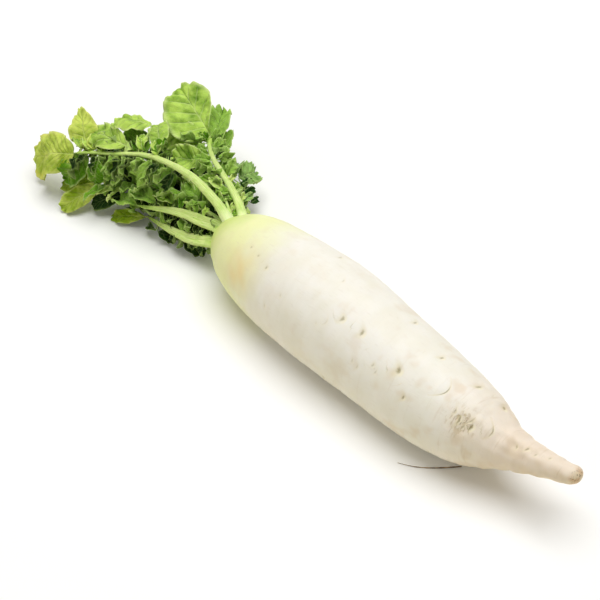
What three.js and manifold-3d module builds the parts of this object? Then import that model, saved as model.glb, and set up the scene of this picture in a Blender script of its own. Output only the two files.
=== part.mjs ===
// A daikon radish with its leaves, lying on its side on a flat surface.
// Millimetres, +Z up. The origin is where the belly touches the surface,
// +X runs to the cut tail and -X to the crown and the leaves.

import * as THREE from "three";
import Module from "manifold-3d";
import { mergeVertices } from "three/addons/utils/BufferGeometryUtils.js";

// ---- Driving dimensions ----

// Root: [distance along X, radius] from the crown's face to the cut end of the tail.
const ROOT_PROFILE = [
  [-112.5, 0], [-112, 8], [-109.5, 12.8], [-105, 17.2], [-99, 21.4], [-91, 25.8], [-81, 29.3], [-68, 32],
  [-52, 34], [-34, 35.4], [-19, 36.2], [-4, 36.8], [8, 36.7], [24, 36], [41, 35], [58, 34], [75, 33.1],
  [91, 32.2], [106, 30.8], [119, 28.8], [130, 26.4], [140, 23.6], [149, 20.2], [155, 17.6], [160, 15.4],
  [170, 12.2], [186, 8.7], [202, 6.8], [209, 6], [211.4, 4.2], [212, 0],
];
const ROOT_SIDES = 28;
const BELLY_PRESS = 0.3; // how far the belly flattens where it lies on the surface
const BELLY = [-36, 72]; // stretch along X that touches the surface
const CROWN_AXIS_Z = 34; // height of the root's axis at the crown
const TAIL_AXIS = [ // [X, height] past the belly
  [106, 32.2], [140, 32.6], [155, 33.4], [170, 35.2], [212, 41],
];
const ROOT_SWAY = [ // [X, sideways shift of the axis]
  [-119, 2.5], [-78, 2.6], [-37, 1], [0, 0], [43, -0.7], [83, -2], [123, -3.2], [164, -2], [212, 5.8],
];

const GAP = 0.4; // clearance between pieces that grew together
const BLADE_THICKNESS = 0.9;
const BLADE_ROWS = 7; // steps along a leaf blade
const BLADE_COLUMNS = 4; // steps across it
const BLADE_END = 0.12; // width left at a blade's two ends, as a share of its full width
const STALK_SIDES = 8;
const STALK_STEPS = 12;
const STALK_DEPTH = 0.82; // a stalk's depth as a share of its width
const ROOTLET_SIDES = 6;

// Directions that a blade's upper face looks in.
const UP = [0, 0, 1];
const FRONT = [0.45, -0.5, 0.74];

// Each leaf has a stalk that grows out of the crown, and blades along it.
// stalk: its route, from inside the crown, and its width at the start, the middle and the end.
// blades: [name, base, tip, width, facing, shape]; shape.widest is the place of the full width
// along the blade, fullness how square its outline is, arch how far it bows and cup how far
// its sides lift.
const OVAL = { widest: 0.5, fullness: 0.4, arch: 0.1, cup: 0.1 };
const FAN = { widest: 0.6, fullness: 0.6, arch: 0.1, cup: -0.1 };
const BROAD = { widest: 0.6, fullness: 0.7, arch: 0.1, cup: -0.1 };
const SPEAR = { widest: 0.3, fullness: 0.3, arch: 0.05, cup: -0.1 };
const LEVEL = { widest: 0.5, fullness: 0.6, arch: 0.08, cup: -0.1 };
const CURLED = { widest: 0.5, fullness: 0.5, arch: 0.1, cup: 0.2 };
const LEAVES = [
  {
    name: "leaf_1", // the longest leaf, arching over the others
    stalk: {
      route: [
        [-100, 5, 34], [-114, 7, 46], [-123, 7, 52], [-132, 6, 57], [-148, 5, 62], [-167, 3, 62],
        [-185, 2, 59], [-201, -1, 55], [-212, -7, 52], [-227, -14, 48], [-241, -20, 44], [-248, -23, 41],
      ],
      widths: [8.4, 4.6, 2.2],
    },
    blades: [
      ["end_blade", [-249, -24, 40], [-293, -29, 16], 34, FRONT, BROAD],
      ["upright_blade", [-248, -13, 45], [-271, 0, 57], 22, FRONT, SPEAR],
      ["veined_blade", [-213, -3, 57], [-247, -6, 52], 19, FRONT, FAN],
      ["level_blade", [-210, 18, 66], [-235, 2, 64], 17, UP, LEVEL],
      ["shaded_blade", [-218, 14, 60], [-218, 8, 46], 19, FRONT, FAN],
      ["far_blade", [-193, 13, 56], [-224, 35, 52], 15, FRONT, FAN],
      ["near_blade", [-240, -18, 40], [-252, -32, 20], 20, FRONT, FAN],
      ["hanging_blade_1", [-225, -19, 45], [-227, -22, 26], 15, FRONT, OVAL],
      ["hanging_blade_2", [-209, -10, 49], [-216, -14, 33], 16, FRONT, FAN],
      ["hanging_blade_3", [-186, -2, 55], [-197, -6, 40], 19, FRONT, FAN],
    ],
  },
  {
    name: "leaf_2", // rises to the far side and ends in a big blade
    stalk: {
      route: [
        [-98, 10, 38], [-113, 20, 44], [-130, 26, 50], [-148, 31, 53], [-166, 38, 52], [-182, 48, 50],
        [-189, 55, 50],
      ],
      widths: [7.6, 4.6, 2.8],
    },
    blades: [
      ["end_blade", [-191, 57, 49], [-233, 65, 63], 38, FRONT, BROAD],
      ["low_blade", [-195, 53, 46], [-224, 42, 38], 23, FRONT, FAN],
      ["right_blade_1", [-183, 54, 43], [-216, 88, 43], 17, FRONT, CURLED],
      ["right_blade_2", [-174, 53, 38], [-206, 83, 33], 13, FRONT, CURLED],
      ["left_blade_1", [-169, 33, 50], [-192, 24, 45], 19, FRONT, FAN],
      ["left_blade_2", [-146, 27, 49], [-154, 17, 43], 14, FRONT, FAN],
      ["right_blade_3", [-150, 38, 45], [-171, 56, 38], 13, FRONT, OVAL],
    ],
  },
  {
    name: "leaf_3", // broad open stalk on the near side
    stalk: {
      route: [
        [-100, 4, 34], [-119, 4, 35], [-131, 1, 34], [-147, -1, 32], [-163, -5, 29], [-176, -10, 26],
        [-187, -13, 23],
      ],
      widths: [9.6, 7.8, 1.7],
    },
    blades: [
      ["tip_blade", [-190, -13, 22], [-214, -14, 18], 12, FRONT, OVAL],
      ["far_blade_1", [-177, -6, 28], [-197, -10, 31], 12, FRONT, OVAL],
      ["far_blade_2", [-163, 0, 32], [-183, 0, 34], 12, FRONT, OVAL],
      ["near_blade_1", [-173, -8, 24], [-180, -5, 18], 9, FRONT, OVAL],
      ["near_blade_2", [-156, -3, 26], [-163, -2, 20], 9, FRONT, OVAL],
    ],
  },
  {
    name: "leaf_4", // lowest stalk, close to the surface
    stalk: {
      route: [[-100, 4, 30], [-120, -1, 24], [-135, -6, 20], [-152, -8, 17], [-169, -8, 14], [-186, -7, 11]],
      widths: [10, 7.8, 1.4],
    },
    blades: [
      ["tip_blade", [-188, -8, 10], [-214, -19, 1], 11, FRONT, OVAL],
      ["near_blade_1", [-171, -12, 10], [-183, -9, 5], 6, FRONT, OVAL],
      ["near_blade_2", [-169, -11, 9], [-159, -3, 4], 8, FRONT, OVAL],
      ["near_blade_3", [-146, -6, 10], [-133, 2, 4], 9, FRONT, OVAL],
    ],
  },
  {
    name: "leaf_5", // dark curly leaf on the far side
    stalk: {
      route: [[-100, 8, 31], [-119, 22, 28], [-131, 34, 27], [-144, 46, 25], [-158, 57, 24]],
      widths: [5, 3.6, 2],
    },
    blades: [
      ["end_blade", [-164, 60, 25], [-167, 77, 20], 18, FRONT, OVAL],
      ["right_blade_1", [-164, 62, 16], [-158, 62, 13], 7, FRONT, OVAL],
      ["left_blade_1", [-160, 52, 30], [-180, 70, 27], 12, FRONT, OVAL],
      ["right_blade_2", [-151, 60, 10], [-151, 67, 10], 5, FRONT, OVAL],
    ],
  },
  {
    name: "leaf_6", // long leaf under the middle of the bunch
    stalk: {
      route: [
        [-100, 6, 33], [-122, 14, 29], [-148, 15, 27], [-169, 14, 24], [-185, 9, 22], [-202, 4, 20],
        [-219, -5, 18], [-230, -12, 17],
      ],
      widths: [5, 3.6, 1.8],
    },
    blades: [
      ["end_blade", [-233, -15, 16], [-243, -42, 4], 15, FRONT, FAN],
      ["far_blade_1", [-234, -8, 19], [-264, -26, 7], 17, FRONT, FAN],
      ["far_blade_2", [-216, 1, 22], [-241, -4, 22], 16, UP, OVAL],
      ["near_blade_1", [-212, -10, 17], [-228, -25, 7], 13, FRONT, OVAL],
      ["far_blade_3", [-200, 7, 23], [-213, 3, 33], 14, FRONT, OVAL],
      ["near_blade_2", [-195, 1, 20], [-207, -6, 10], 14, FRONT, OVAL],
      ["far_blade_4", [-183, 13, 26], [-198, 13, 37], 16, FRONT, OVAL],
      ["near_blade_3", [-176, 9, 22], [-185, 0, 16], 14, FRONT, OVAL],
      ["far_blade_5", [-157, 17, 30], [-172, 20, 34], 14, FRONT, OVAL],
      ["near_blade_4", [-151, 10, 29], [-162, 6, 24], 10, FRONT, OVAL],
    ],
  },
  {
    name: "leaf_8", // broad dark leaf that lies on the surface under the others
    stalk: {
      route: [[-100, 9, 28], [-122, 22, 20], [-145, 31, 13], [-175, 37, 9], [-210, 36, 8], [-242, 32, 7]],
      widths: [5, 4, 2.4],
    },
    blades: [
      ["end_blade", [-248, 32, 7], [-284, 33, 4], 34, UP, FAN],
      ["far_blade_1", [-223, 39, 8], [-245, 68, 5], 33, UP, FAN],
      ["far_blade_2", [-192, 42, 9], [-213, 74, 5], 33, UP, FAN],
      ["far_blade_3", [-158, 39, 12], [-178, 65, 5], 24, UP, FAN],
      ["near_blade_1", [-226, 30, 7], [-248, 2, 4], 30, UP, FAN],
      ["near_blade_2", [-193, 31, 8], [-211, 3, 4], 30, UP, FAN],
      ["near_blade_3", [-161, 30, 10], [-178, 3, 5], 26, UP, FAN],
    ],
  },
  {
    name: "leaf_7", // young leaf in the heart of the crown
    stalk: {
      route: [[-100, 6, 38], [-115, 13, 41], [-125, 17, 45], [-136, 23, 47]],
      widths: [3.2, 2.4, 1.2],
    },
    blades: [
      ["end_blade", [-137.5, 23, 48], [-147, 22, 52], 8, FRONT, OVAL],
      ["left_blade", [-127, 16, 47], [-137, 17, 45], 7, FRONT, OVAL],
      ["right_blade", [-128, 22, 44], [-135, 33, 45], 7, FRONT, OVAL],
    ],
  },
];

// Rootlets: fine side roots left on the skin, as thin threads.
const ROOTLETS = [
  {
    name: "rootlet_1",
    width: 0.9,
    route: [[132, -9, 0.6], [125, -21, 0.6], [115, -30, 0.6], [104, -36, 0.6]],
  },
];
const ROOTLET_STEPS = 12;

const COLOURS = {
  root: 0xf3efe2,
  stalk: 0xcfe39a,
  blade: 0x8fbf4a,
  rootlet: 0x9a7b55,
};

// ---- Shared shapes ----

const finish = (color, roughness) => new THREE.MeshStandardMaterial({ color, roughness, metalness: 0 });

// Value at x on the straight lines that join the [x, value] points.
function alongPoints(points, x) {
  const next = Math.max(1, points.findIndex((point) => point[0] >= x));
  const [startX, startValue] = points[next - 1];
  const [endX, endValue] = points[next];
  return THREE.MathUtils.mapLinear(x, startX, endX, startValue, endValue);
}

// Cubic curve through [x, value] points, as many straight pieces.
function smoothed(points) {
  const places = points.map(([x, value]) => new THREE.Vector3(x, value, 0));
  const curve = new THREE.CatmullRomCurve3(places, false, "centripetal");
  return curve.getPoints(points.length * 8).map((point) => [point.x, point.y]);
}

// A position-only closed geometry with its shared vertices merged.
function closed(geometry) {
  geometry.deleteAttribute("normal");
  geometry.deleteAttribute("uv");
  const merged = mergeVertices(geometry, 1e-4);
  merged.computeVertexNormals();
  return merged;
}

const wasm = await Module();
wasm.setup();

function solidOf(geometry) {
  const vertProperties = new Float32Array(geometry.attributes.position.array);
  const triVerts = new Uint32Array(geometry.index.array);
  return new wasm.Manifold(new wasm.Mesh({ numProp: 3, vertProperties, triVerts }));
}

function cutAway(geometry, tool) {
  const { vertProperties, triVerts } = solidOf(geometry).subtract(solidOf(tool)).getMesh();
  const cut = new THREE.BufferGeometry();
  cut.setAttribute("position", new THREE.BufferAttribute(vertProperties, 3));
  cut.setIndex(new THREE.BufferAttribute(triVerts, 1));
  cut.computeVertexNormals();
  return cut;
}

function movePoints(geometry, move) {
  const place = geometry.attributes.position;
  const point = new THREE.Vector3();
  for (let index = 0; index < place.count; index += 1) {
    move(point.fromBufferAttribute(place, index));
    place.setXYZ(index, point.x, point.y, point.z);
  }
  return closed(geometry);
}

// ---- Root ----

const radiusAt = (x) => alongPoints(ROOT_PROFILE, x);

// Height of the root's axis: the belly's own radius where it lies flat, and a rising line past it.
const rootHeights = smoothed([
  [-119, CROWN_AXIS_Z],
  [-80, CROWN_AXIS_Z],
  ...[BELLY[0], -4, 41, BELLY[1]].map((x) => [x, radiusAt(x) - BELLY_PRESS]),
  ...TAIL_AXIS,
]);
const rootSway = smoothed(ROOT_SWAY);

// The root's closed surface, pushed out by grow.
function rootGeometry(grow) {
  const profile = ROOT_PROFILE.map(
    ([x, radius]) => new THREE.Vector2(radius && radius + grow, x + Math.sign(x) * grow),
  );
  const facetDown = Math.PI / ROOT_SIDES;
  const geometry = new THREE.LatheGeometry(profile, ROOT_SIDES, facetDown);
  geometry.rotateZ(-Math.PI / 2); // the lathe's axis turns from +Y to +X
  return movePoints(geometry, (point) => {
    const x = point.x;
    point.y += alongPoints(rootSway, x);
    point.z = Math.max(0, point.z + alongPoints(rootHeights, x));
  });
}

const root = new THREE.Mesh(rootGeometry(0), finish(COLOURS.root, 0.5));
root.name = "root";
const crownClearance = rootGeometry(GAP);

// ---- Leaves ----

// A stalk is a lathe turned about a straight axis and then laid along its route.
function stalkGeometry({ route, widths }) {
  const places = route.map((point) => new THREE.Vector3(...point));
  const path = new THREE.CatmullRomCurve3(places, false, "centripetal");
  const [start, middle, end] = widths;
  const profile = [new THREE.Vector2(0, 0)];
  for (let step = 0; step <= STALK_STEPS; step += 1) {
    const share = step / STALK_STEPS;
    const width = share < 0.5
      ? THREE.MathUtils.lerp(start, middle, share * 2)
      : THREE.MathUtils.lerp(middle, end, share * 2 - 1);
    profile.push(new THREE.Vector2(width / 2, share));
  }
  profile.push(new THREE.Vector2(0, 1));
  const geometry = new THREE.LatheGeometry(profile, STALK_SIDES);
  const up = new THREE.Vector3(0, 0, 1);
  return movePoints(geometry, (point) => {
    const share = point.y;
    const along = path.getTangentAt(share);
    const side = new THREE.Vector3().crossVectors(up, along).normalize();
    const over = new THREE.Vector3().crossVectors(along, side);
    const { x, z } = point;
    point.copy(path.getPointAt(share)).addScaledVector(side, -x).addScaledVector(over, z * STALK_DEPTH);
  });
}

// A blade in its own frame: length along X from the base, width along Y, upper face to +Z.
function bladeGeometry(length, width, { widest, fullness, arch, cup }) {
  const geometry = new THREE.BoxGeometry(1, 2, 1, BLADE_ROWS, BLADE_COLUMNS, 1);
  const skew = Math.log(0.5) / Math.log(widest); // moves the full width along the blade
  return movePoints(geometry, (point) => {
    const along = (1 - Math.cos(Math.PI * (point.x + 0.5))) / 2;
    const across = point.y;
    const outline = Math.max(BLADE_END, Math.sin(Math.PI * along ** skew) ** (1 - fullness));
    const bow = arch * length * 4 * along * (1 - along);
    const lift = cup * (width / 2) * (across * outline) ** 2;
    point.set(along * length, (across * outline * width) / 2, bow + lift + point.z * BLADE_THICKNESS);
  });
}

function bladeMesh(name, base, tip, width, facing, shape) {
  const start = new THREE.Vector3(...base);
  const along = new THREE.Vector3(...tip).sub(start);
  const length = along.length();
  along.normalize();
  const across = new THREE.Vector3().crossVectors(new THREE.Vector3(...facing), along).normalize();
  const upper = new THREE.Vector3().crossVectors(along, across);
  const mesh = new THREE.Mesh(bladeGeometry(length, width, shape), finish(COLOURS.blade, 0.6));
  mesh.name = name;
  mesh.quaternion.setFromRotationMatrix(new THREE.Matrix4().makeBasis(along, across, upper));
  mesh.position.copy(start);
  mesh.updateMatrixWorld();
  const lowest = new THREE.Box3().setFromObject(mesh, true).min.z;
  mesh.position.z -= Math.min(0, lowest); // a blade that would reach below the surface lies on it
  return mesh;
}

function leafGroup({ name, stalk, blades }) {
  const group = new THREE.Group();
  group.name = name;
  const stem = new THREE.Mesh(cutAway(stalkGeometry(stalk), crownClearance), finish(COLOURS.stalk, 0.5));
  stem.name = `${name}_stalk`;
  group.add(stem);
  for (const [blade, base, tip, width, facing, shape] of blades) {
    group.add(bladeMesh(`${name}_${blade}`, base, tip, width, facing, shape));
  }
  return group;
}

// ---- Rootlets ----

function rootletMesh({ name, width, route }) {
  const section = new THREE.Shape();
  section.absarc(0, 0, width / 2, 0, 2 * Math.PI);
  const extrudePath = new THREE.CatmullRomCurve3(route.map((point) => new THREE.Vector3(...point)));
  const settings = { steps: ROOTLET_STEPS, curveSegments: ROOTLET_SIDES / 2, extrudePath };
  const geometry = new THREE.ExtrudeGeometry(section, settings);
  const mesh = new THREE.Mesh(closed(geometry), finish(COLOURS.rootlet, 0.7));
  mesh.name = name;
  return mesh;
}

// ---- The whole radish ----

const daikon = new THREE.Group();
daikon.name = "daikon_radish";
daikon.add(root, ...LEAVES.map(leafGroup), ...ROOTLETS.map(rootletMesh));

export default daikon;
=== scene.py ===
"""The looks of a daikon radish that lies on its side with its leaves on.

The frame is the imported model's: +Z up, +X to the cut tail, -X to the crown and the leaves.
Shapes are worked out in millimetres, and turned to metres as their meshes are made.
"""

import math
from functools import reduce
from types import SimpleNamespace

import bmesh
import bpy
import numpy as np
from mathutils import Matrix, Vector


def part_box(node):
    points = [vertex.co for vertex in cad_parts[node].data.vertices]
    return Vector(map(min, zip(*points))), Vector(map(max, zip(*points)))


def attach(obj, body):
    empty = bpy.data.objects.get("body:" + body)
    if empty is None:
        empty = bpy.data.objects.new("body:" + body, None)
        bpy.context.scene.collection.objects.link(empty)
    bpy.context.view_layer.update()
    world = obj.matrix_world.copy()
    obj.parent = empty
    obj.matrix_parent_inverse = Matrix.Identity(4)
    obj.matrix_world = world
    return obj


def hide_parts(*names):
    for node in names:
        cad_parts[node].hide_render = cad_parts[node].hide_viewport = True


MM = 0.001
CURVE_STEPS = 16  # points worked out between two points of a smooth curve
NOISE_WAVES = 8  # waves added up to one smooth noise

# ---- The root's sizes ----

ROOT_ROWS = 390
ROOT_SIDES = 224
ROOT_CAD_SIDES = 28
END_ROWS = 0.35  # share of the rows that crowd towards the two ends
CUT_END = 208.5  # where the brown worn end of the tail begins
TAIL_START = 150  # where the body has narrowed to the thin tail
TIP_ROUND = 7  # length of the rounded end of the tail
CROWN_EDGE = -84  # where the crown rounds over to the leaves
BELLY_HEIGHT = 0.4  # skin lower than this bends up to keep off the floor
THINNEST = 0.05  # radius left at the root's two ends
SEAT_SWELL = 1.1  # how far the crown swells round each stalk that it carries
OCHRE_PATCH = (-60, 28, 12, 24)  # X, angle, half length in mm and half width in degrees
WRINKLED_PATCH = (139, 46, 9, 20)

# Old rootlets' marks on the near side: [X, angle up from the near side in degrees, length round the
# root in mm, width in mm, depth in mm].
MARKS = [
    [-60, 58, 2, 1.6, 0.4], [-50, 55, 2, 1.6, 0.4], [-38, 50, 2.6, 1.8, 0.7], [-25, 15, 3, 1.4, 0.3],
    [-15, 35, 2, 1.2, 0.25], [14, 88, 3, 1.2, 0.3], [20, 35, 2, 1, 0.15], [26, 42, 5, 0.8, 0.25],
    [34, 55, 4.5, 2.6, 0.8], [51, 57, 4.5, 2.4, 0.9], [55, 27, 3, 1.2, 0.25], [60, 25, 3, 1.2, 0.3],
    [70, 38, 3, 1.6, 0.4], [74, 34, 3, 1.2, 0.3], [87, 51, 4.5, 3.2, 1.3], [99, 30, 3, 1.6, 0.8],
    [120, 66, 10, 0.8, 0.7], [132, 54, 5, 1, 0.5], [137, 47, 6, 1.4, 0.9], [141, 42, 4, 1.2, 0.5],
    [145, 47, 5, 1.8, 1.0], [143, 56, 4, 1.2, 0.5], [156, 62, 8, 1, 0.7], [172, 60, 3, 1.2, 0.5],
    [178, 68, 3, 1.4, 0.6], [184, 64, 2, 1.2, 0.4], [192, 78, 2, 1.2, 0.4],
]
HIDDEN_MARKS = 26  # more, placed by chance on the sides that the camera doesn't see
HIDDEN_RANGES = ((-70, 200), (95, 340), (2, 5), (1, 2.5), (0.3, 0.9))  # the same five numbers' ranges
FAR_FROM_MARK = 12  # mm, past which a mark changes nothing
DIMPLE = 2.6  # a dimple's half size along the root, round a mark
DIMPLE_DEPTH = 0.55  # its depth as a share of the mark's
MARK_SLANT = 0.35  # how far a mark may lean along the root for each mm round it
MARK_BEND = (0.05, 0.12)  # how far it may bow

# ---- The leaves' sizes ----

STALK_ROWS = 64
STALK_SIDES = 30
STALK_LEVELS = 22  # places along a CAD stalk where its middle and width are measured
STALK_DEPTH = 5  # how far a stalk goes into the crown, with half its width more
STALK_SEAT = 4  # how deep in the crown the swelling round it is centred
STALK_FLARE = (0.12, 5, 6)  # how much wider it is near the crown, how far along and over what length
STALK_RIBS = 11
STALK_RIB_HEIGHT = 0.03  # as a share of its half width
BIG_GRID = (60, 18, 10)  # a big blade's rows, columns on each half and rows along its little stalk
SMALL_GRID = (42, 12, 8)
LOBE_GRID = (24, 7, 5)
LOBE_POINTS = 8  # points along a small lobe's middle line
BIG = 15  # a blade wider than this has the big grid
BLADE_CAD_ROWS = 7
BLADE_CAD_POINTS = 10  # corner points in one row of a CAD blade, both faces together
TOUCHING = 0.005  # points this near to a plane lie in it
BASE_PULL = 0.35  # a blade's base is its end by the stalk, and of two as near the one by the crown
SHEET = 0.22  # half the thickness of a blade away from its veins
RIM = 0.05  # and no less than this at its rim
ROUNDING = 0.97  # how round its rim and its little stalk are, 1 for a full round
STALKLET = 0.5  # radius of the little stalk that carries a blade
STALKLET_POINTS = 12
BEND_POINTS = 60  # points on the line that a blade is bent along
BLADE_LIFT = 0.15  # room under a blade that lies on the floor
BLADE_EASE = 1  # height above that below which it bends up to keep the room
LOWEST = 0.02  # height of a blade's lowest point
FULLEST = 0.42  # share of a blade's length from which its teeth shorten it too
SKEW_SQUARE = 2.4  # for a skew of 1, how much less full a blade's right half ends
SKEW_BASE = 29  # and how much slimmer it starts
GOLDEN = 0.618  # steps that spread numbers evenly
PAINTED_SHADE_RISE = 0.05  # painted shade: how much lighter a small lobe is painted for each mm that it is above its stalk's middle, so that low ones are darker
TONE_SPREAD = 1.1  # how far a small lobe's tone strays either way
FIRST_SEED = 20
SEED_STEP = 10

# The blades' material slots in the record.
YELLOW = "leaf_yellow_green"
FRESH = "leaf_fresh_green"
DEEP = "leaf_deep_green"
BLUE = "leaf_blue_green"
TENDER = "leaf_young"

# How a blade is shaped. Heights are shares of its width.
# veins: side veins on each half. teeth, tooth: rim lobes on each half and how deep they cut.
# ruffle, waves: height and number of waves along the rim. pucker: swelling between veins.
# cup: how far the sides lift. fold: slope of the two halves. curl: how far the tip drops, as a share
# of its length. twist: turn from base to tip in degrees. lean: how far the veins lean forward.
# widest: place of the full width along the blade. square: how full its round end is, 2 for an
# ellipse. base: how its other end narrows, 0.5 for an ellipse and 1 for a wedge.
# tone: 0 for the dark colour and 1 for the light one. yellow: how yellow its rim is.
# limp: how unevenly it sags. swell, ripples: height and number of the folds across it.
# lopsided: how much wider the left half is. skew: how much nearer the base its widest place is, and
# the right half's further from it. grow: the fine blade's size against its CAD solid's.
PLAIN = dict(
    veins=6, teeth=5, tooth=0.06, ruffle=0.08, waves=3, pucker=0.03, cup=0.0, fold=0.1, curl=0.05,
    twist=0, lean=1.5, widest=0.55, square=2.2, base=0.8, yellow=0.0, limp=0.11, swell=0.0, ripples=1.5,
    lopsided=0.0, skew=0.0, grow=1.05,
)
BROAD = dict(
    PLAIN, veins=7, teeth=6, tooth=0.03, pucker=0.026, ruffle=0.06, waves=4, square=2.6, widest=0.58,
    base=0.55,
)
WAVY = dict(BROAD, ruffle=0.1)
RIDGED = dict(BROAD, tooth=0.015, pucker=0.1, waves=7, ruffle=0.12, veins=5, lean=1.6)
FRILLY = dict(
    PLAIN, veins=4, teeth=4, tooth=0.06, ruffle=0.2, waves=3.2, pucker=0.07, square=2.4, fold=0.6,
    curl=0.3, twist=40, limp=0.14, grow=1.1,
)
YOUNG = dict(FRILLY, tooth=0.16, fold=0.8, ruffle=0.12, twist=20)
LOBE = dict(FRILLY, teeth=3, tooth=0.05, waves=2.6, fold=0.7, twist=45, square=2.7, base=0.45)


def leaflet(slot, kind, tone, **changes):
    """A blade's material slot, and its shape: a kind of blade with this tone and these changes."""
    return slot, SimpleNamespace(**dict(kind, tone=tone, **changes))


BLADES = {
    "leaf_1": {
        "end_blade": leaflet(YELLOW, BROAD, 0.6, veins=11, yellow=0.9, cup=-0.1, square=3.2, lean=2),
        "upright_blade": leaflet(YELLOW, BROAD, 0.8, widest=0.28, square=1.3, base=0.35, yellow=0.35),
        "veined_blade": leaflet(FRESH, BROAD, 0.7, lean=2, veins=5),
        "level_blade": leaflet(FRESH, BROAD, 0.8, cup=-0.12),
        # Painted shade: this blade hangs in the level blade's shadow, and the deep green paints that
        # shade.
        "shaded_blade": leaflet(DEEP, BROAD, 0.6),
        "far_blade": leaflet(FRESH, BROAD, 0.5, swell=0.06),
        "near_blade": leaflet(FRESH, BROAD, 0.2, swell=0.05),
        "hanging_blade_1": leaflet(FRESH, PLAIN, 0.05),
        "hanging_blade_2": leaflet(DEEP, PLAIN, 0.8, cup=0.3, swell=0.08),
        "hanging_blade_3": leaflet(DEEP, PLAIN, 0.9, swell=0.06),
    },
    "leaf_2": {
        "end_blade": leaflet(
            FRESH, BROAD, 0.65, tooth=0.015, ruffle=0.03, limp=0.07, lopsided=0.2, skew=0.125, square=2.1,
            swell=0.05, ripples=1.3, widest=0.545, base=0.4, grow=1.07,
        ),
        "low_blade": leaflet(FRESH, BROAD, 0.9, veins=5, lean=2),
        "right_blade_1": leaflet(DEEP, RIDGED, 0.8, waves=4, ruffle=0.06, tooth=0.008, fold=0.5),
        "right_blade_2": leaflet(DEEP, RIDGED, 0.9),
        "right_blade_3": leaflet(DEEP, RIDGED, 1.0),
        "left_blade_1": leaflet(FRESH, BROAD, 0.65, cup=0.08, pucker=0.04),
        "left_blade_2": leaflet(FRESH, RIDGED, 0.45),
    },
    "leaf_3": {
        "tip_blade": leaflet(DEEP, FRILLY, 0.9),
        "far_blade_1": leaflet(DEEP, FRILLY, 0.8),
        "far_blade_2": leaflet(FRESH, FRILLY, 0.4),
        "near_blade_1": leaflet(DEEP, FRILLY, 0.4),
        "near_blade_2": leaflet(DEEP, FRILLY, 0.2),
    },
    "leaf_4": {
        "tip_blade": leaflet(YELLOW, PLAIN, 0.05),
        # Painted shade: the near blades hang in the shade under the stalk, and their dark tones paint it.
        "near_blade_1": leaflet(DEEP, PLAIN, 0.1, fold=0.6),
        "near_blade_2": leaflet(DEEP, FRILLY, -0.6),
        "near_blade_3": leaflet(DEEP, FRILLY, -0.6),
    },
    "leaf_5": {
        "end_blade": leaflet(BLUE, RIDGED, 0.8, teeth=8, tooth=0.04, ruffle=0.1, waves=9, square=3),
        "right_blade_1": leaflet(BLUE, LOBE, 0.3, fold=0.3),
        "left_blade_1": leaflet(BLUE, FRILLY, 0.6),
        "right_blade_2": leaflet(BLUE, LOBE, 0.2, fold=0.3),
    },
    "leaf_6": {
        "end_blade": leaflet(YELLOW, BROAD, 0.45),
        "far_blade_1": leaflet(YELLOW, BROAD, 0.15, swell=0.05),
        "far_blade_2": leaflet(FRESH, PLAIN, 0.8, fold=0.8),
        # Painted shade: a dark blade set where there is deep shade under this leaf.
        "near_blade_1": leaflet(DEEP, BROAD, -0.3),
        "far_blade_3": leaflet(DEEP, FRILLY, 1.0),
        "near_blade_2": leaflet(DEEP, FRILLY, 0.4),
        "far_blade_4": leaflet(DEEP, FRILLY, 0.8),
        "near_blade_3": leaflet(FRESH, FRILLY, 0.6),
        "far_blade_5": leaflet(DEEP, FRILLY, 1.0),
        "near_blade_4": leaflet(FRESH, FRILLY, 0.8),
    },
    "leaf_7": {
        "end_blade": leaflet(TENDER, YOUNG, 0.7),
        "left_blade": leaflet(TENDER, YOUNG, 0.5),
        "right_blade": leaflet(TENDER, YOUNG, 0.7),
    },
    # Painted shade: this leaf lies under the others, and its blades' dark tones paint the shade there.
    "leaf_8": {
        "end_blade": leaflet(DEEP, WAVY, 0.0),
        "far_blade_1": leaflet(DEEP, WAVY, 0.1),
        "far_blade_2": leaflet(DEEP, WAVY, 0.05),
        "far_blade_3": leaflet(DEEP, WAVY, 0.05),
        "near_blade_1": leaflet(DEEP, WAVY, -0.05),
        "near_blade_2": leaflet(DEEP, WAVY, -0.1),
        "near_blade_3": leaflet(DEEP, WAVY, -0.1),
    },
}

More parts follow.
